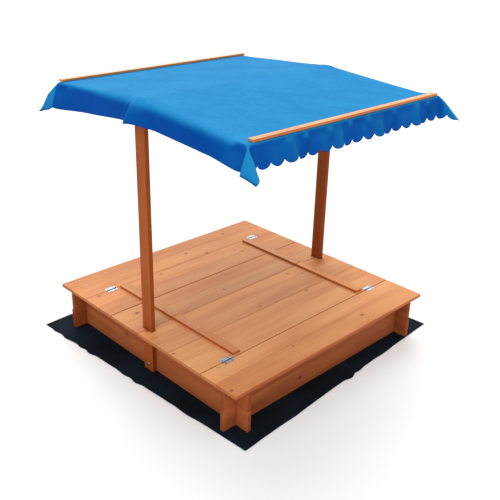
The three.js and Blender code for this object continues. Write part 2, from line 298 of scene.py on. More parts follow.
class Nodes:
    """A node tree with short calls for the nodes that the materials use."""

    def __init__(self, tree):
        self.tree = tree

    def add(self, kind, **settings):
        prefix = "" if kind.startswith("NodeGroup") else "ShaderNode"
        node = self.tree.nodes.new(prefix + kind)
        for key, value in settings.items():
            setattr(node, key, value)
        return node

    def wire(self, value, socket):
        if isinstance(value, bpy.types.NodeSocket):
            self.tree.links.new(value, socket)
        elif value is not None:
            socket.default_value = value

    def fill(self, node, **values):
        """Sets or wires a node's inputs, named with _ for each space."""
        for name, value in values.items():
            self.wire(value, node.inputs[name.replace("_", " ")])

    def math(self, operation, a, b=None, c=None, clamp=False):
        node = self.add("Math", operation=operation, use_clamp=clamp)
        for value, socket in zip((a, b, c), node.inputs):
            self.wire(value, socket)
        return node.outputs[0]

    def plus(self, a, b):
        return self.math("ADD", a, b)

    def minus(self, a, b):
        return self.math("SUBTRACT", a, b)

    def times(self, a, b):
        return self.math("MULTIPLY", a, b)

    def times_plus(self, a, b, c, clamp=False):
        return self.math("MULTIPLY_ADD", a, b, c, clamp)

    def absolute(self, a):
        return self.math("ABSOLUTE", a)

    def wave(self, place, length):
        return self.math("SINE", self.times(place, 2 * math.pi / length))

    def vector(self, operation, a, b=None):
        node = self.add("VectorMath", operation=operation)
        self.wire(a, node.inputs[0])
        self.wire(b, node.inputs[1])
        return node.outputs["Value" if operation == "LENGTH" else "Vector"]

    def scaled(self, vector, scales):
        return self.vector("MULTIPLY", vector, scales)

    def split(self, vector):
        node = self.add("SeparateXYZ")
        self.wire(vector, node.inputs[0])
        return node.outputs

    def join(self, x, y, z):
        node = self.add("CombineXYZ")
        for value, socket in zip((x, y, z), node.inputs):
            self.wire(value, socket)
        return node.outputs[0]

    def noise(self, vector, scale, detail=2.0, roughness=0.5):
        node = self.add("TexNoise")
        self.fill(node, Vector=vector, Scale=scale, Detail=detail, Roughness=roughness)
        return node.outputs[0]

    def ramp(self, value, low, high, low_to=0.0, high_to=1.0):
        node = self.add("MapRange", interpolation_type="SMOOTHSTEP")
        for item, socket in zip((value, low, high, low_to, high_to), node.inputs):
            self.wire(item, socket)
        return node.outputs[0]

    def blend(self, share, a, b, mode="MIX"):
        node = self.add("Mix", data_type="RGBA", blend_type=mode)
        self.fill(node, Factor=share, A=a, B=b)
        return node.outputs["Result"]

    def tinted(self, share, colour, tint):
        """The colour with that share of the tint."""
        return self.blend(share, colour, self.blend(1.0, colour, tint, "MULTIPLY"))

    def surface(self, shader, colour, rough, height, depth, strength):
        """Gives a shader its colour, its roughness and a relief of that depth."""
        relief = self.add("Bump")
        self.fill(relief, Height=height, Distance=depth, Strength=strength)
        self.fill(shader, Base_Color=colour, Roughness=rough, Normal=relief.outputs["Normal"])


def new_material(name):
    material = bpy.data.materials.new(name)
    material.use_nodes = True
    nodes = Nodes(material.node_tree)
    return material, nodes, material.node_tree.nodes["Principled BSDF"]


# ------------ camera, floor and light


def make_camera():
    az, down, roll = CAMERA_AZIMUTH, CAMERA_DOWN, CAMERA_ROLL
    ahead = Vector((-math.sin(az) * math.cos(down), math.cos(az) * math.cos(down), -math.sin(down)))
    level_right = ahead.cross(Vector((0, 0, 1))).normalized()
    level_up = level_right.cross(ahead)
    right = math.cos(roll) * level_right + math.sin(roll) * level_up
    up = math.cos(roll) * level_up - math.sin(roll) * level_right
    data = bpy.data.cameras.new("camera")
    data.lens = CAMERA_LENS
    data.sensor_width = 36
    data.clip_end = 50
    camera = link_object("camera", data)
    turn = Matrix((right, up, -ahead)).transposed().to_4x4()
    camera.matrix_world = Matrix.Translation(CAMERA_AT) @ turn
    scene.camera = camera


def make_floor():
    half = FLOOR_HALF
    corners = [(x, y, FLOOR_Z) for x, y in rectangle(-half, half, -half, half)]
    mesh = bpy.data.meshes.new("floor")
    mesh.from_pydata(corners, [], [(0, 1, 2, 3)])
    floor = link_object("floor", mesh)
    material, n, shader = new_material("floor")
    n.fill(shader, Base_Color=(0.8, 0.8, 0.8, 1), Roughness=0.9, Specular_IOR_Level=0.1)
    mesh.materials.append(material)


def sun_light(name, compass, height, softness, strength):
    """A far, soft light: compass turns from +X towards +Y, and all its angles are in degrees."""
    data = bpy.data.lights.new(name, "SUN")
    data.energy = strength
    data.angle = math.radians(softness)
    turn, rise = math.radians(compass), math.radians(height)
    source = Vector((math.cos(turn) * math.cos(rise), math.sin(turn) * math.cos(rise), math.sin(rise)))
    light = link_object(name, data)
    light.rotation_euler = (-source).to_track_quat("-Z", "Y").to_euler()


def make_lights():
    world = bpy.data.worlds.new("world")
    world.use_nodes = True
    n = Nodes(world.node_tree)
    seen = n.add("LightPath").outputs["Is Camera Ray"]
    strength = n.times_plus(seen, BACKDROP - SKY, SKY)
    n.fill(world.node_tree.nodes["Background"], Color=(1, 1, 1, 1), Strength=strength)
    scene.world = world
    for sun in SUNS:
        sun_light(*sun)
    scene.view_settings.view_transform = "Standard"


# ------------ wood


def wood_knots(n, place, share):
    """Knots, one chance in each cell: where there is one, its core, its rim, the way from it."""
    cells = n.add("TexVoronoi", voronoi_dimensions="2D", feature="F1")
    spread = n.vector("DIVIDE", place, KNOT_CELL)
    n.fill(cells, Vector=spread, Scale=1.0, Randomness=0.85)
    away = n.vector("SUBTRACT", spread, cells.outputs["Position"])
    away_x, away_y, _ = n.split(n.scaled(away, KNOT_CELL))
    uneven = n.times(n.minus(n.noise(place, 90, 1), 0.5), 0.004)
    radius = n.vector("LENGTH", n.join(n.times(away_x, 0.72), away_y, 0.0))
    radius = n.plus(radius, uneven)
    luck, size, _ = n.split(cells.outputs["Color"])
    present = n.math("LESS_THAN", luck, share)
    core_r = n.times_plus(size, 0.004, 0.0025)
    core = n.ramp(radius, n.times(core_r, 0.75), n.times(core_r, 1.25), 1.0, 0.0)
    rim = n.ramp(radius, core_r, n.times(core_r, 2.6), 1.0, 0.0)
    return present, n.times(present, core), n.times(present, rim), (away_x, away_y)


def wood_grain(n, place, present, away):
    """Where a point lies in the grain, which wanders and gives way round a knot."""
    x, y, z = n.split(place)
    away_x, away_y = away
    pull = n.vector("LENGTH", n.join(n.times(away_x, 14.0), n.times(away_y, 42.0), 0.0))
    push = n.math("EXPONENT", n.times(n.times(pull, pull), -1.0))
    push = n.times(n.times(present, push), 0.8)
    bent_y = n.minus(y, n.times(away_y, push))
    drift = n.noise(n.scaled(place, (1.3, 6.0, 6.0)), 1.0, 3)
    bent_y = n.times_plus(n.minus(drift, 0.5), 0.035, bent_y)
    return n.join(x, bent_y, z)


def late_wood(n, bent):
    """The dark bands of the growth rings: circles about a pith that lies below the board."""
    _, y, z = n.split(bent)
    rings = n.vector("LENGTH", n.join(y, n.plus(z, PITH_DEPTH), 0.0))
    uneven = n.noise(n.join(0.0, n.times(rings, 60.0), 0.0), 1.0, 1)
    phase = n.plus(n.times(rings, 2 * math.pi / RING_WIDTH), n.times(uneven, 7.0))
    band = n.times_plus(n.math("SINE", phase), 0.5, 0.5)
    return n.math("POWER", band, 2.5)


def wood_tone(n, place, bent, late, fibre):
    """How dark the stained wood is, from its bands, streaks, fibres and clouds."""
    streak = n.noise(n.scaled(bent, (1.6, 24.0, 20.0)), 1.0, 2)
    cloud = n.noise(n.scaled(place, (2.5, 9.0, 9.0)), 1.0, 2)
    tone = n.times(late, 0.16)
    tone = n.times_plus(n.ramp(streak, 0.32, 0.72), 0.4, tone)
    tone = n.times_plus(n.minus(fibre, 0.5), 0.3, tone)
    return n.times_plus(n.minus(cloud, 0.5), 0.9, tone, clamp=True)


def wood_marks(n, colour, place, bent):
    """Reddish patches in the stain, and dark flecks along the grain."""
    patches = n.noise(n.scaled(place, (1.2, 7.0, 7.0)), 1.0, 3)
    colour = n.tinted(n.ramp(patches, 0.48, 0.72, 0.0, 0.6), colour, BLUSH_TINT)
    flecks = n.noise(n.scaled(bent, (45.0, 260.0, 260.0)), 1.0, 1)
    return n.tinted(n.ramp(flecks, 0.70, 0.78, 0.0, 0.55), colour, FLECK_TINT)


def wood_group():
    """Softwood in grain space: x along the grain, y across the board's face, z through it."""
    tree = bpy.data.node_groups.new("softwood", "ShaderNodeTree")
    for way, sockets in (("INPUT", WOOD_INPUTS), ("OUTPUT", WOOD_OUTPUTS)):
        for name, kind in sockets.items():
            tree.interface.new_socket(name, in_out=way, socket_type="NodeSocket" + kind)
    n = Nodes(tree)
    given = n.add("NodeGroupInput").outputs
    place, dark, end = given["Vector"], given["Dark"], given["End"]
    present, knot, rim, away = wood_knots(n, place, given["Knots"])
    bent = wood_grain(n, place, present, away)
    late = late_wood(n, bent)
    fibre = n.noise(n.scaled(bent, (9.0, 420.0, 420.0)), 1.0, 3, 0.6)

    colour = n.blend(wood_tone(n, place, bent, late, fibre), given["Light"], dark)
    colour = wood_marks(n, colour, place, bent)
    rim_colour = n.blend(1.0, dark, RIM_TINT, "MULTIPLY")
    knot_colour = n.blend(1.0, dark, KNOT_TINT, "MULTIPLY")
    colour = n.blend(n.times(rim, 0.45), colour, rim_colour)
    colour = n.blend(n.times(knot, 0.75), colour, knot_colour)
    sawn = n.blend(n.times(late, 0.6), rim_colour, knot_colour)
    colour = n.blend(n.times(end, 0.55), colour, sawn)
    # painted shade: the narrow sides darker and redder
    colour = n.tinted(given["Side"], colour, SIDE_SHADE_TINT)

    height = n.plus(n.times(late, 0.35), n.times(fibre, 0.5))
    height = n.minus(height, n.times(knot, 0.4))
    rough = n.times_plus(fibre, 0.16, n.times_plus(end, 0.2, 0.48))
    rough = n.minus(rough, n.times(late, 0.06))
    n.fill(n.add("NodeGroupOutput"), Color=colour, Height=height, Roughness=rough)


def wood(name, grain, light, dark, knots, offset, side, gloss):
    """A wood for one board: grain gives the axis of its fibres, then the axis across its face.

    Its narrow sides are painted darker and redder, by the share that side gives: painted shade.
    """
    material, n, shader = new_material(name)
    group = n.add("Group", node_tree=bpy.data.node_groups["softwood"])
    coordinates = n.add("TexCoord").outputs
    along, across = ("XYZ".index(letter) for letter in grain)
    through = 3 - along - across
    parts = n.split(coordinates["Object"])
    turned = n.join(parts[along], parts[across], parts[through])
    normal = n.split(coordinates["Normal"])
    end = n.ramp(n.absolute(normal[along]), 0.6, 0.95)
    # painted shade on the narrow sides, by how far a face turns across the board
    side = n.ramp(n.absolute(normal[across]), 0.5, 0.95, 0.0, side)
    n.fill(group, Vector=n.vector("ADD", turned, offset), End=end, Side=side)
    n.fill(group, Light=light, Dark=dark, Knots=knots)
    colour, height, rough = group.outputs
    n.surface(shader, colour, rough, height, 0.0004, 0.6)
    n.fill(shader, Specular_IOR_Level=gloss)
    return material


def varied(colour, warm, bright):
    """A board's own shade of that colour."""
    red, green, blue, _ = colour
    return (red * bright, green * bright * (1 - 0.10 * warm), blue * bright * (1 - 0.22 * warm), 1.0)


# ------------ boards

PLANES = {"XY": (0, 1, 2), "XZ": (0, 2, 1), "YZ": (1, 2, 0)}
CROSS_SECTION = {"X": "YZ", "Y": "XZ", "Z": "XY"}


def rectangle(u0, u1, v0, v1):
    return [(u0, v0), (u1, v0), (u1, v1), (u0, v1)]


def finish_mesh(bm, name):
    bmesh.ops.recalc_face_normals(bm, faces=bm.faces)
    mesh = bpy.data.meshes.new(name)
    bm.to_mesh(mesh)
    bm.free()
    return link_object(name, mesh)


def prism(name, outline, plane, low, high, bevel=BEVEL):
    """A board of that outline between two heights, with rounded edges of the second material."""
    a, b, c = PLANES[plane]
    bm = bmesh.new()
    ends = []
    for height in (low, high):
        ring = []
        for u, v in outline:
            place = [0.0, 0.0, 0.0]
            place[a], place[b], place[c] = u, v, height
            ring.append(bm.verts.new(place))
        ends.append(ring)
    bottom, top = ends
    bm.faces.new(bottom)
    bm.faces.new(list(reversed(top)))
    for i in range(len(outline)):
        j = (i + 1) % len(outline)
        bm.faces.new((bottom[i], top[i], top[j], bottom[j]))
    bmesh.ops.recalc_face_normals(bm, faces=bm.faces)
    sharp = [e for e in bm.edges if e.calc_face_angle(0) > math.radians(35)]
    bmesh.ops.bevel(bm, geom=sharp, offset=bevel, segments=3, profile=0.5, affect="EDGES", material=1)
    return finish_mesh(bm, name)


def body_of(node):
    for body, members in frame["record"]["behaviour"]["bodies"].items():
        if node in members:
            return body
    raise ValueError(node)


def dress(piece, kind, grain, node):
    """Gives a board its own wood, and ties it to the CAD node that it stands for."""
    light, dark, knots, side, gloss = TONES[kind]
    warm, bright = rng.uniform(-0.5, 0.9), rng.uniform(0.92, 1.06)
    offset = (rng.uniform(0, 40), rng.uniform(-0.03, 0.03), rng.uniform(-0.01, 0.02))
    light, dark = varied(light, warm, bright), varied(dark, warm, bright)
    # the rounded edges a little lighter: partly wear, partly a painted highlight along them
    worn_and_highlit = varied(light, 0, 1.05)
    materials = piece.data.materials
    materials.append(wood(piece.name, grain, light, dark, knots, offset, side, gloss))
    materials.append(wood(piece.name + "_edge", grain, worn_and_highlit, dark, 0.0, offset, side, gloss))
    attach(piece, body_of(node))
    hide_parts(node)


def plain_board(node, kind, grain, bevel=BEVEL):
    """A board that fills its CAD node's box."""
    low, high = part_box(node)
    plane = CROSS_SECTION[grain[0]]
    a, b, c = PLANES[plane]
    outline = rectangle(low[a], high[a], low[b], high[b])
    piece = prism(node + "_wood", outline, plane, low[c], high[c], bevel)
    dress(piece, kind, grain, node)


def seam_gap(y):
    """How far a plank's edge stands back from its CAD place: some seams are wider than others."""
    for place, gap in SEAM_GAPS.items():
        if abs(y - place) < 0.01:
            return gap
    return 0.0


def notched_outline(half, near, far):
    """The outline of a plank beside the middle seam, with a notch for each post."""
    post_low, post_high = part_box("right_post")
    inner, outer = post_low.x - POST_SLOT, post_high.x + POST_SLOT
    notch = math.copysign(post_high.y + POST_SLOT, far)
    return [
        (-half, far), (half, far), (half, near),
        (outer, near), (outer, notch), (inner, notch), (inner, near),
        (-inner, near), (-inner, notch), (-outer, notch), (-outer, near),
        (-half, near),
    ]


def lid_plank(node, tongue_side):
    """A lid plank; the tongue that its CAD node has in the next plank's groove is left out."""
    low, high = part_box(node)
    y0, y1 = low.y, high.y
    if tongue_side < 0:
        y0 += TONGUE
    elif tongue_side > 0:
        y1 -= TONGUE
    y0 += seam_gap(y0)
    y1 -= seam_gap(y1)
    near, far = sorted((y0, y1), key=abs)
    if abs(near) < 0.02:
        outline = notched_outline(high.x, near, far)
        piece = prism(node + "_wood", outline, "XY", low.z, high.z, LID_BEVEL)
    else:
        outline = rectangle(y0, y1, low.z, high.z)
        piece = prism(node + "_wood", outline, "YZ", low.x, high.x, LID_BEVEL)
    dress(piece, "lid", "XY", node)


def lid():
    for side, sign in (("rear", 1), ("front", -1)):
        for strip in ("seat", "flap", "backrest"):
            lid_plank(f"{side}_{strip}_plank_inner", 0)
            lid_plank(f"{side}_{strip}_plank_outer", -sign)
        for hand in ("left", "right"):
            plain_board(f"{side}_{hand}_batten", "lid", "YX")


def wall_board(node, across, slots_on_top):
    """A wall board with the half-lap slots for the boards that cross it."""
    low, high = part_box(node)
    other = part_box("right_wall_lower" if across == "X" else "rear_wall_lower")
    axis = "XY".index(across)
    inner, outer = other[0][axis] - FIT, other[1][axis] + FIT
    half = high[axis]
    middle = (low.z + high.z) / 2 + (-FIT / 2 if slots_on_top else FIT / 2)
    edge, back = (high.z, low.z) if slots_on_top else (low.z, high.z)
    outline = [
        (half, edge), (outer, edge), (outer, middle), (inner, middle), (inner, edge),
        (-inner, edge), (-inner, middle), (-outer, middle), (-outer, edge), (-half, edge),
        (-half, back), (half, back),
    ]
    if across == "X":
        piece = prism(node + "_wood", outline, "XZ", low.y, high.y)
    else:
        piece = prism(node + "_wood", outline, "YZ", low.x, high.x)
    dress(piece, "wall", across + "Z", node)


def walls():
    for tier in ("lower", "upper"):
        for name in ("left", "right"):
            wall_board(f"{name}_wall_{tier}", "Y", True)
        for name in ("front", "rear"):
            wall_board(f"{name}_wall_{tier}", "X", False)


def posts():
    """Two posts with round tops about their pivots."""
    for name in ("left_post", "right_post"):
        low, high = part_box(name)
        radius = high.y
        pivot = high.z - radius
        outline = [(low.y, low.z), (high.y, low.z)]
        for i in range(POST_TOP_STEPS + 1):
            angle = math.pi * i / POST_TOP_STEPS
            outline.append((radius * math.cos(angle), pivot + radius * math.sin(angle)))
        piece = prism(name + "_wood", outline, "YZ", low.x, high.x)
        dress(piece, "post", "ZY", name)


def canopy_frame():
    for name in ("left_canopy_arm", "right_canopy_arm"):
        plain_board(name, "frame", "YZ")
    for name in ("ridge_bar", "front_end_rail", "rear_end_rail"):
        plain_board(name, "frame", "XZ")
    for name in ("front_clamp_strip", "rear_clamp_strip"):
        plain_board(name, "trim", "XY", STRIP_BEVEL)


# ------------ metal


def zinc():
    material, n, shader = new_material("zinc")
    place = n.add("TexCoord").outputs["Object"]
    patches = n.noise(place, 160, 4, 0.6)
    fine = n.noise(n.scaled(place, (1.0, 8.0, 8.0)), 500, 2)
    colour = n.blend(patches, rgb(122, 126, 136), rgb(172, 177, 188))
    n.surface(shader, colour, n.ramp(patches, 0.2, 0.8, 0.14, 0.30), fine, 0.0001, 0.4)
    n.fill(shader, Metallic=0.9)
    return material


def dark_metal_and_recess_shade():
    """Dark metal for the screws in the hinges, and painted shade for a screw's recess."""
    material, n, shader = new_material("recess")
    spots = n.noise(n.add("TexCoord").outputs["Object"], 900, 2)
    colour = n.blend(spots, rgb(40, 38, 38), rgb(84, 80, 78))
    n.fill(shader, Base_Color=colour, Roughness=0.6, Metallic=0.6)
    return material


def lathe(bm, profile, base, turn, sides):
    """A turned form: profile holds (radius, height) pairs, and turn carries +Z to its axis."""
    rings = []
    for radius, height in profile:
        ring = []
        for i in range(1 if radius == 0 else sides):
            angle = 2 * math.pi * i / sides
            place = Vector((radius * math.cos(angle), radius * math.sin(angle), height))
            ring.append(bm.verts.new(turn @ place + base))
        rings.append(ring)
    for lower, upper in zip(rings, rings[1:]):
        for i in range(sides):
            corners = []
            for ring, k in ((lower, i), (lower, i + 1), (upper, i + 1), (upper, i)):
                corner = ring[k % sides % len(ring)]
                if corner not in corners:
                    corners.append(corner)
            if len(corners) > 2:
                bm.faces.new(corners)


def cross_recess(bm, base, turn, spin, reach):
    """The cross-shaped recess of a screw head, as four flat arms of the second material on its top:
    with the dark material they are painted shade in place of a hollow.
    """
    half = reach * RECESS_HALF
    for k in range(4):
        angle = spin + k * math.pi / 2
        along = Vector((math.cos(angle), math.sin(angle), 0)) * reach
        side = Vector((-math.sin(angle), math.cos(angle), 0)) * half
        up = Vector((0, 0, RECESS_TOP))
        corners = [side, along + side, along - side, -side]
        face = bm.faces.new([bm.verts.new(turn @ (corner + up) + base) for corner in corners])
        face.material_index = 1


def screws(name, places, normal, body, metal, radius=SCREW_R):
    """Screw heads at those points, as one piece that rides on a body."""
    turn = Vector((0, 0, 1)).rotation_difference(Vector(normal)).to_matrix()
    head = [(radius * share, height) for share, height in SCREW_HEAD]
    bm = bmesh.new()
    for place in places:
        base = Vector(place)
        lathe(bm, head, base, turn, SCREW_SIDES)
        cross_recess(bm, base, turn, rng.uniform(0, math.pi / 2), radius * RECESS_REACH)
    piece = finish_mesh(bm, name)
    for material in metal:
        piece.data.materials.append(material)
    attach(piece, body)


def wood_screws(side, sign, metal):
    """The screws down into the side walls, and those of the battens."""
    seat_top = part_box("rear_seat_plank_outer")[1].z
    batten_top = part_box("rear_left_batten")[1].z
    for name, body, middle, top, spots in (
        (f"{side}_seat_screws", "box", SEAT_SCREW_X, seat_top, SEAT_SCREWS),
        (f"{side}_batten_screws", f"{side}_backrest", BATTEN_SCREW_X, batten_top, BATTEN_SCREWS),
    ):
        places = [(x + stray, sign * y, top) for x in (-middle, middle) for y, stray in spots]
        screws(name, places, (0, 0, 1), body, metal)


def leaf_screws(side, sign, where, leaf, body, metal):
    """The screws in one leaf of both hinges of a fold."""
    under, top = (corner.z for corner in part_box("rear_seat_plank_outer"))
    up = 1 if where == "top" else -1
    z = (top if where == "top" else under) + up * HINGE_SCREW_LIFT
    pin = sign * HINGE_Y[where]
    places = []
    for hand in ("left", "right"):
        low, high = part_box(f"{side}_{hand}_{where}_hinge_{leaf}_leaf")
        far = high.y if abs(high.y - pin) > abs(low.y - pin) else low.y
        y = pin + (far - pin) * HINGE_SCREW_REACH
        for share in (0.2, 0.8):
            places.append((low.x + (high.x - low.x) * share, y, z))
    screws(f"{side}_{where}_{leaf}_hinge_screws", places, (0, 0, up), body, metal, HINGE_SCREW_R)


def bolt_head(node, shank_r, height, metal):
    """A round-headed bolt, in place of a CAD bolt."""
    low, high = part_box(node)
    out = Vector((1 if high.x > 0 else -1, 0, 0))
    middle = (low + high) / 2
    radius = (high.y - low.y) / 2
    outer = high.x if out.x > 0 else low.x
    base = Vector((outer, middle.y, middle.z)) - out * height
    turn = Vector((0, 0, 1)).rotation_difference(out).to_matrix()
    shank = high.x - low.x - height
    profile = [(0, -shank), (shank_r, -shank), (shank_r, 0), (radius, 0.0002)]
    for i in range(1, BOLT_STEPS):
        angle = math.pi / 2 * i / BOLT_STEPS
        profile.append((radius * math.cos(angle), height * math.sin(angle)))
    profile.append((0, height))
    bm = bmesh.new()
    lathe(bm, profile, base, turn, BOLT_SIDES)
    piece = finish_mesh(bm, node + "_metal")
    piece.data.shade_smooth()
    piece.data.materials.append(metal)
    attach(piece, body_of(node))
    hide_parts(node)


def hardware():
    bright, dark = zinc(), dark_metal_and_recess_shade()
    for name, node in frame["nodes"].items():
        if "hinge" in name or "nut" in name:
            node.data.materials.clear()
            node.data.materials.append(bright)
    for hand in ("left", "right"):
        for name, (shank_r, height) in BOLTS.items():
            bolt_head(f"{hand}_{name}", shank_r, height, bright)
    for side, sign in (("rear", 1), ("front", -1)):
        wood_screws(side, sign, (bright, dark))
        for where, leaf, body in (
            ("top", "seat", "box"),
            ("top", "flap", f"{side}_flap"),
            ("under", "flap", f"{side}_flap"),
            ("under", "backrest", f"{side}_backrest"),
        ):
            leaf_screws(side, sign, where, leaf, body, (dark, bright))


# ------------ the canopy's shape


def cloth_line(t):
    """Where the cloth lies over the frame, at a flat distance t from the ridge: (y, z)."""
    ridge_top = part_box("ridge_bar")[1].z + RIDGE_LIFT
    clamp_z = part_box("rear_end_rail")[1].z + CLAMP_LIFT
    clamp_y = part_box("rear_clamp_strip")[0].y - CLAMP_MARGIN
    slope = math.hypot(clamp_y - RIDGE_HALF, ridge_top - clamp_z)
    if t <= RIDGE_HALF:
        return t, ridge_top
    if t <= RIDGE_HALF + slope:
        share = (t - RIDGE_HALF) / slope
        return RIDGE_HALF + share * (clamp_y - RIDGE_HALF), ridge_top + share * (clamp_z - ridge_top)
    return clamp_y + (t - RIDGE_HALF - slope), clamp_z


def fold_line(t):
    """How far out the cloth folds down at its sides; it draws in towards the rear corners."""
    return FOLD_FRONT + (FOLD_REAR - FOLD_FRONT) * min(1.0, max(0.0, (t - FOLD_START) / FOLD_RUN))


def hem_at(s, t):
    """The flat length from the ridge to the scalloped hem on the side of t, at s across."""
    place = (s / CLOTH_W + 0.5) * SCALLOPS
    share = place % 1.0
    if place < 0.5 or place > SCALLOPS - 0.5:
        share = 0.5
    end = CLOTH_L / 2 + math.copysign(CLOTH_REARWARD, t)
    end += CORNER_EXTRA * smooth((abs(s) - CORNER_EXTRA_FROM) / 0.1)
    return end - SCALLOP_DEPTH * (1 - abs(math.sin(math.pi * share)) ** 0.6)


def corner_way(angle, corner):
    """The direction of the cloth round a corner, from the side (0) to the end (90 degrees)."""
    first, second, mark_1, mark_2 = CORNERS[corner]
    side = Vector((math.sin(FLARE), 0, -math.cos(FLARE)))
    end = Vector((0, math.sin(FLARE), -math.cos(FLARE)))
    keys = [side, Vector(first).normalized(), Vector(second).normalized(), end]
    marks = (0.0, mark_1, mark_2, 1.0)
    share = min(angle / (math.pi / 2), 0.9999)
    for k in range(3):
        if share < marks[k + 1]:
            return keys[k].slerp(keys[k + 1], (share - marks[k]) / (marks[k + 1] - marks[k]))
    return end


def draped_point(s, t, fold_t):
    """A first shape for the cloth: flat on top, hanging at the sides, a cone at each corner."""
    sx, sy = math.copysign(1, s), math.copysign(1, t)
    fold_s = fold_line(t)
    u, v = abs(s) - fold_s, abs(t) - fold_t
    y, z = cloth_line(min(abs(t), fold_t))
    x = min(abs(s), fold_s)
    if u <= 0 and v <= 0:
        return Vector((sx * x, sy * y, z))
    if v <= 0:
        return Vector((sx * (x + u * math.sin(FLARE)), sy * y, z - u * math.cos(FLARE)))
    if u <= 0:
        return Vector((sx * x, sy * (y + v * math.sin(FLARE)), z - v * math.cos(FLARE)))
    radius = math.hypot(u, v)
    way = corner_way(math.atan2(v, u), (int(sx), int(sy)))
    return Vector((sx * (x + way.x * radius), sy * (y + way.y * radius), z + way.z * radius))


def flat_point(s, t, fold_t):
    """Moves a point of the plain grid to the cloth's own outline."""
    reach = abs(t)
    if reach > fold_t:
        end = CLOTH_L / 2 + math.copysign(CLOTH_REARWARD, t)
        share = (reach - fold_t) / (end - fold_t)
        reach = fold_t + share * (hem_at(s, t) - fold_t)
    if abs(s) > fold_line(t) and reach > CORNER_SPREAD_FROM:
        share = (abs(s) - fold_line(t)) / (CLOTH_W / 2 - fold_line(t))
        s += math.copysign(CORNER_SPREAD * share, s)
    return s, math.copysign(reach, t)


def flat_cloth(fold_t):
    """The cloth's flat points, row by row, with its scalloped ends."""
    across = [(k + step) / SCALLOPS - 0.5 for k in range(SCALLOPS) for step in SCALLOP_STEPS] + [0.5]
    flat = []
    for j in range(ROWS + 1):
        t = (j / ROWS - 0.5) * CLOTH_L + CLOTH_REARWARD
        flat += [flat_point(share * CLOTH_W, t, fold_t) for share in across]
    return flat


# ------------ the canopy's drape


def pinned_points(flat, fold_t):
    """The points that the clamp strips, the ridge and the corners' seams hold."""
    strip_low, strip_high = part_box("rear_clamp_strip")
    pinned = []
    for i, (s, t) in enumerate(flat):
        clamped = strip_low.y + CLAMP_MARGIN <= abs(t) <= fold_t
        if abs(s) <= strip_high.x and (clamped or abs(t) < PINNED_RIDGE):
            pinned.append(i)
    for row in (0, COLUMNS):
        for i in (row, row + 1, row + COLUMNS - 1, row + COLUMNS - 2):
            pinned += [i, len(flat) - 1 - i]
    return pinned


def collider(node):
    """A copy of a CAD node for the cloth to rest on."""
    copy = link_object("rest_" + node, frame["nodes"][node].data.copy())
    copy.modifiers.new("touch", "COLLISION")
    copy.collision.thickness_outer = TOUCH
    copy.collision.thickness_inner = 0.01
    copy.collision.cloth_friction = 12
    return copy


def settle(cloth, pinned):
    """Lets the cloth hang under gravity, and returns the mesh that it comes to rest as."""
    group = cloth.vertex_groups.new(name="clamped")
    group.add(pinned, 1.0, "REPLACE")
    rests = [collider(f"{hand}_{node}") for node in RESTS_ON for hand in ("left", "right")]
    hang = cloth.modifiers.new("hang", "CLOTH")
    fabric = hang.settings
    fabric.quality = 7
    fabric.mass = MASS
    fabric.air_damping = 0.2
    for way, stiffness in (("tension", TENSION), ("compression", TENSION), ("shear", SHEAR)):
        setattr(fabric, way + "_stiffness", stiffness)
        setattr(fabric, way + "_damping", DAMPING)
    fabric.bending_stiffness = BENDING
    fabric.bending_damping = 1
    fabric.vertex_group_mass = "clamped"
    fabric.rest_shape_key = cloth.data.shape_keys.key_blocks["flat"]
    hang.collision_settings.distance_min = TOUCH
    hang.collision_settings.use_collision = True
    hang.collision_settings.use_self_collision = False
    hang.point_cache.frame_start = 1
    hang.point_cache.frame_end = SETTLE_FRAMES
    scene.frame_start, scene.frame_end = 1, SETTLE_FRAMES
    for step in range(1, SETTLE_FRAMES + 1):
        scene.frame_set(step)
    view = bpy.context.evaluated_depsgraph_get()
    settled = bpy.data.meshes.new_from_object(cloth.evaluated_get(view))
    scene.frame_set(1)
    for copy in rests:
        bpy.data.objects.remove(copy)
    return settled


def drape(flat, fold_t):
    """The cloth as it hangs over its frame, before its set folds."""
    mesh = bpy.data.meshes.new("canopy_start")
    start = [draped_point(s, t, fold_t) for s, t in flat]
    mesh.from_pydata(start, [], grid_quads(COLUMNS, ROWS + 1))
    cloth = link_object("canopy_start", mesh)
    cloth.shape_key_add(name="Basis")
    key = cloth.shape_key_add(name="flat")
    for point, (s, t) in zip(key.data, flat):
        point.co = (s, t, 0.0)
    key.value = 0.0
    settled = settle(cloth, pinned_points(flat, fold_t))
    bpy.data.objects.remove(cloth)
    settled.name = "canopy"
    return settled


# ------------ the canopy's set folds


def softening(s, t):
    """How much the fold along each side is rounded at that point, from 0 to 0.5."""
    if abs(s) <= fold_line(t) - 0.02 and abs(t) <= 0.03:
        return 0.0
    near_fold = smooth((0.048 - abs(abs(s) - fold_line(t) + 0.008)) / 0.02)
    off_the_ends = smooth((0.545 - abs(t)) / 0.05)
    crisper_behind = 1 - 0.8 * smooth((t - 0.10) / 0.25)
    return 0.5 * near_fold * off_the_ends * crisper_behind


def round_sides(mesh, flat):
    """Softens the fold along each side, as the cloth's stiffness does."""
    places = np.array([v.co[:] for v in mesh.vertices]).reshape(-1, COLUMNS, 3)
    share = np.array([softening(s, t) for s, t in flat]).reshape(-1, COLUMNS, 1)
    for _ in range(SOFTENING_PASSES):
        middle = places.copy()
        middle[:, 1:-1] = (places[:, :-2] + places[:, 2:]) / 2
        places += (middle - places) * share
    mesh.vertices.foreach_set("co", places.astype(np.float32).ravel())
    mesh.update()


def set_corners(mesh, flat, fold_t):
    """Gives each corner its creased shape, which its seams hold, and joins it to the valances."""
    for vertex, (s, t) in zip(mesh.vertices, flat):
        u, v = abs(s) - fold_line(t), abs(t) - fold_t
        if u > 0 and v > 0:
            angle = math.atan2(v, u)
            held = smooth(min(angle, math.pi / 2 - angle) / CORNER_JOIN)
            vertex.co = vertex.co.lerp(draped_point(s, t, fold_t), held)


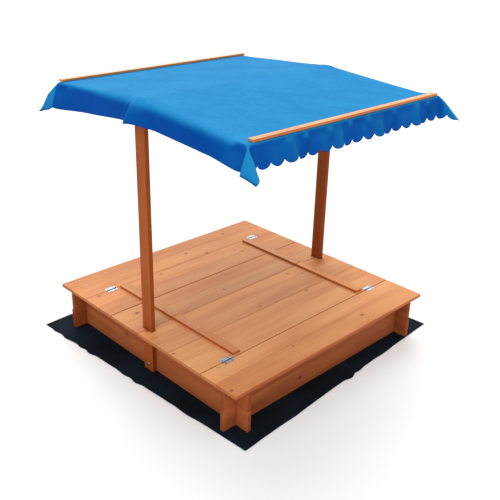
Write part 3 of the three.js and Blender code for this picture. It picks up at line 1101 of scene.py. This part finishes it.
def end_waves(s, t, u, v):
    """How far an end valance swings out at s across, v below its fold."""
    inner = smooth((2 * SIDE_LAP - u) / 0.08)
    depth = v / VALANCE
    wave = wander(s, 8 if t > 0 else 9, 26) + 0.45
    push = WAVE_DEPTH * depth ** 1.15 * wave * inner
    for k, pinch in enumerate(PINCHES):
        at = pinch if t < 0 else -pinch - 0.03
        lean = 0.02 * math.sin(k * 2.1) * depth
        fan = bell(s - at - lean, 0.009 + 0.16 * v) * smooth(v / 0.02) * math.exp(-v / 0.05)
        dip = bell(s - at, 0.011) * bell(v - 0.012, 0.011)
        push += (PINCH_DEPTH * fan - PINCH_DIP * dip) * inner
    return max(push, INWARD_LIMIT)


def move_end(s, t, u, v):
    """How a point of an end valance moves: waves, stiff rear ends and rounded corners."""
    sign = 1 if t > 0 else -1
    push = end_waves(s, t, u, v)
    y, z = sign * push, 0.25 * abs(push)
    if t > 0:
        stiff = smooth((abs(s) - 0.42) / 0.12) * (1 - smooth((abs(s) - 0.55) / 0.08))
        y += REAR_LEAN * v * stiff
        z += REAR_RISE * v * stiff
    out = 0.0
    if u > 0:
        turned = max(0.0, 1 - math.atan2(v, max(u, 0.001)) / 0.6)
        out = SIDE_FLARE * turned * smooth(u / 0.14)
    return Vector((math.copysign(out, s), y, z))


def move_side(s, t, u, fold_t):
    """How a point of a side valance moves: the pleat at its post, ripples and flared ends."""
    lean = (t + 0.004) / (0.029 + 0.28 * u)
    pleat = smooth((1.12 - lean) / 0.24) * smooth(u / 0.018)
    pleat *= min(1.0, max(0.0, (lean + 2.1) / 3.0)) ** 1.4
    valley = bell(lean - 1.45, 0.35) * smooth(u / 0.03)
    ripple = SIDE_RIPPLE * wander(t, 10 if s > 0 else 11, 9) * smooth(u / 0.1)
    ends = SIDE_FLARE * smooth((abs(t) - 0.36) / (fold_t - 0.36)) * smooth(u / 0.14)
    out = PLEAT_DEPTH * pleat * min(1.0, u / 0.1) - PLEAT_VALLEY * valley
    out += ripple * (1 - pleat) + ends
    return Vector((math.copysign(out, s), 0.0, -0.005 * pleat * u / 0.1))


def move_top(s, t, normal, fold_t):
    """How a point of the top moves: faint streaks that run in from the clamp strips."""
    gap = fold_t - 0.027 - abs(t)
    if gap <= 0:
        return Vector((0.0, 0.0, 0.0))
    streak = wander(s + 0.12 * gap, 12 if t > 0 else 13, 30)
    return normal * (STREAK_DEPTH * streak * math.exp(-gap / 0.16) * smooth(gap / 0.03))


def add_folds(mesh, flat, fold_t):
    """The small set folds: waves and pinches of the ends, pleats at the posts, streaks on top."""
    normals = [v.normal.copy() for v in mesh.vertices]
    for vertex, normal, (s, t) in zip(mesh.vertices, normals, flat):
        u, v = abs(s) - fold_line(t) + SIDE_LAP, abs(t) - fold_t
        if v > 0:
            vertex.co += move_end(s, t, u, v)
        elif u > 0:
            vertex.co += move_side(s, t, u, fold_t)
        else:
            vertex.co += move_top(s, t, normal, fold_t)


# ------------ the canopy's cloth


def facing_light(n, s, t):
    """How far the cloth faces up or to an end, and lies in a folded corner: the share by which its
    colour is painted lighter, as painted light.
    """
    _, endward, upward = n.split(n.add("TexCoord").outputs["Normal"])
    fold = n.ramp(t, -0.1, 0.1, FOLD_FRONT, FOLD_REAR)
    past_side = n.minus(n.absolute(s), fold)
    past_end = n.minus(n.absolute(t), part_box("rear_clamp_strip")[1].y)
    corner = n.math("MINIMUM", past_side, past_end)
    face = n.times_plus(n.absolute(endward), 0.17, upward)
    return n.times_plus(n.ramp(corner, 0.002, 0.024), 0.36, face)


def hem_stitch(n, s, t, edge):
    """The dashed line of stitches along the hem."""
    off = n.absolute(n.minus(edge, 0.009))
    dash = n.math("GREATER_THAN", n.wave(n.plus(s, t), STITCH), -0.4)
    return n.times(n.ramp(off, 0.0003, 0.0007, 1.0, 0.0), dash)


def canopy_material():
    material, n, shader = new_material("canopy_cloth")
    flat = n.add("Attribute", attribute_name="flat").outputs["Vector"]
    edge = n.add("Attribute", attribute_name="edge").outputs["Fac"]
    s, t, _ = n.split(flat)
    weave = n.times(n.wave(s, THREAD), n.wave(t, THREAD))
    slub = n.noise(n.scaled(flat, (260.0, 26.0, 1.0)), 1.0, 2)
    cross = n.noise(n.scaled(flat, (26.0, 260.0, 1.0)), 1.0, 2)
    thread = n.times(n.plus(slub, cross), 0.5)
    stitch = hem_stitch(n, s, t, edge)
    cloud = n.ramp(n.noise(flat, 5.0, 4, 0.6), 0.3, 0.7)
    light = n.blend(cloud, rgb(24, 124, 177), rgb(34, 134, 185))
    shaded_blue = n.blend(cloud, rgb(0, 54, 137), rgb(0, 62, 148))
    # painted light and shade: lighter blue where the cloth faces up, to an end or folds at a corner,
    # darker blue where it faces sideways or down
    colour = n.blend(n.ramp(facing_light(n, s, t), 0.16, 0.94), shaded_blue, light)
    colour = n.blend(n.ramp(thread, 0.35, 0.65, 0.0, 0.25), colour, rgb(4, 84, 150))
    colour = n.blend(n.ramp(weave, -1, 1, 0.0, 0.14), colour, rgb(6, 116, 189))
    colour = n.blend(n.ramp(edge, 0.0, 0.0035, 0.5, 0.0), colour, rgb(2, 40, 100))
    colour = n.blend(n.times(stitch, 0.7), colour, rgb(4, 66, 132))
    height = n.minus(n.plus(n.times(weave, 0.3), n.times(thread, 0.8)), stitch)
    n.surface(shader, colour, n.ramp(thread, 0.3, 0.7, 0.52, 0.66), height, 0.0002, 0.5)
    n.fill(shader, Specular_IOR_Level=0.02)
    return material


def thicken(sheet, thickness):
    thick = sheet.modifiers.new("thick", "SOLIDIFY")
    thick.thickness = thickness
    thick.offset = 0.0


def store(mesh, name, kind, field, values):
    """Keeps one value for each point of a mesh."""
    attribute = mesh.attributes.new(name, kind, "POINT")
    attribute.data.foreach_set(field, np.array(values, np.float32).ravel())


def canopy_cloth():
    fold_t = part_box("rear_clamp_strip")[1].y + CLOTH_THICK
    flat = flat_cloth(fold_t)
    mesh = drape(flat, fold_t)
    round_sides(mesh, flat)
    set_corners(mesh, flat, fold_t)
    add_folds(mesh, flat, fold_t)
    sharp = [0.0] * len(flat)
    for row in (0, ROWS):
        for column in range(0, COLUMNS, len(SCALLOP_STEPS)):
            sharp[row * COLUMNS + column] = 1.0
    store(mesh, "flat", "FLOAT_VECTOR", "vector", [(s, t, 0) for s, t in flat])
    store(mesh, "crease_vert", "FLOAT", "value", sharp)
    to_hem = [min(CLOTH_W / 2 - abs(s), hem_at(s, t) - abs(t)) for s, t in flat]
    store(mesh, "edge", "FLOAT", "value", to_hem)
    mesh.shade_smooth()
    mesh.materials.append(canopy_material())
    canopy = link_object("canopy", mesh)
    fine = canopy.modifiers.new("fine", "SUBSURF")
    fine.levels = fine.render_levels = 1
    thicken(canopy, CLOTH_THICK)
    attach(canopy, "canopy")
    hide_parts("canopy_cloth")


# ------------ ground sheet


def sheet_material():
    material, n, shader = new_material("ground_sheet")
    place = n.add("TexCoord").outputs["Object"]
    x, y, _ = n.split(place)
    weave = n.times(n.wave(x, SHEET_THREAD), n.wave(y, SHEET_THREAD))
    fuzz = n.noise(place, 420, 3, 0.7)
    dust = n.noise(place, 4.0, 5, 0.65)
    colour = n.blend(n.ramp(dust, 0.35, 0.75), rgb(5, 10, 16), rgb(17, 28, 38))
    colour = n.blend(n.ramp(fuzz, 0.4, 0.75, 0.0, 0.35), colour, rgb(28, 46, 58))
    height = n.plus(n.times(weave, 0.5), fuzz)
    n.surface(shader, colour, n.ramp(fuzz, 0.3, 0.7, 0.68, 0.85), height, 0.0005, 0.5)
    n.fill(shader, Specular_IOR_Level=0.07)
    return material


def edge_shift(edge, along):
    """How far out an edge of the sheet lies at that place along it."""
    shift = 0.002 * wander(along, (2, 1, 4, 3)[edge], 9)
    for which, place, out, width in SHEET_BUMPS:
        if which == edge:
            shift += out * bell(along - place, width)
    return shift


def sheet_point(u, v, inside):
    """A point of the laid sheet, at u and v from -1 to 1 across it."""
    x, y = u * SHEET_SIDE / 2, v * SHEET_SIDE / 2
    near_x = max(0, abs(u) - SHEET_MARGIN) / (1 - SHEET_MARGIN)
    near_y = max(0, abs(v) - SHEET_MARGIN) / (1 - SHEET_MARGIN)
    out_x = edge_shift(1 if u > 0 else 0, y) * near_x
    out_y = edge_shift(3 if v > 0 else 2, x) * near_y
    x, y = x + math.copysign(out_x, u), y + math.copysign(out_y, v)
    loose = min(1.0, max(0.0, (max(abs(x), abs(y)) - inside) / SHEET_LOOSE))
    ripple = 0.5 + 0.5 * wander(x - y, 5, 14) * wander(x + y, 6, 11)
    lift = SHEET_LIFT * loose * loose * max(0.0, ripple - 0.25)
    turned = Matrix.Rotation(SHEET_TURN, 2) @ Vector((x, y))
    return (turned.x, turned.y + SHEET_SHIFT * loose, SHEET_THICK / 2 + lift)


def ground_sheet():
    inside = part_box("right_post")[1].x + SHEET_HELD
    steps = [2 * i / SHEET_CELLS - 1 for i in range(SHEET_CELLS + 1)]
    points = [sheet_point(u, v, inside) for v in steps for u in steps]
    mesh = bpy.data.meshes.new("weed_cloth")
    mesh.from_pydata(points, [], grid_quads(len(steps), len(steps)))
    mesh.shade_smooth()
    mesh.materials.append(sheet_material())
    sheet = link_object("weed_cloth", mesh)
    thicken(sheet, SHEET_THICK)
    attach(sheet, "box")
    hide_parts("ground_sheet")


make_camera()
make_floor()
make_lights()
wood_group()
lid()
walls()
posts()
canopy_frame()
hardware()
canopy_cloth()
ground_sheet()
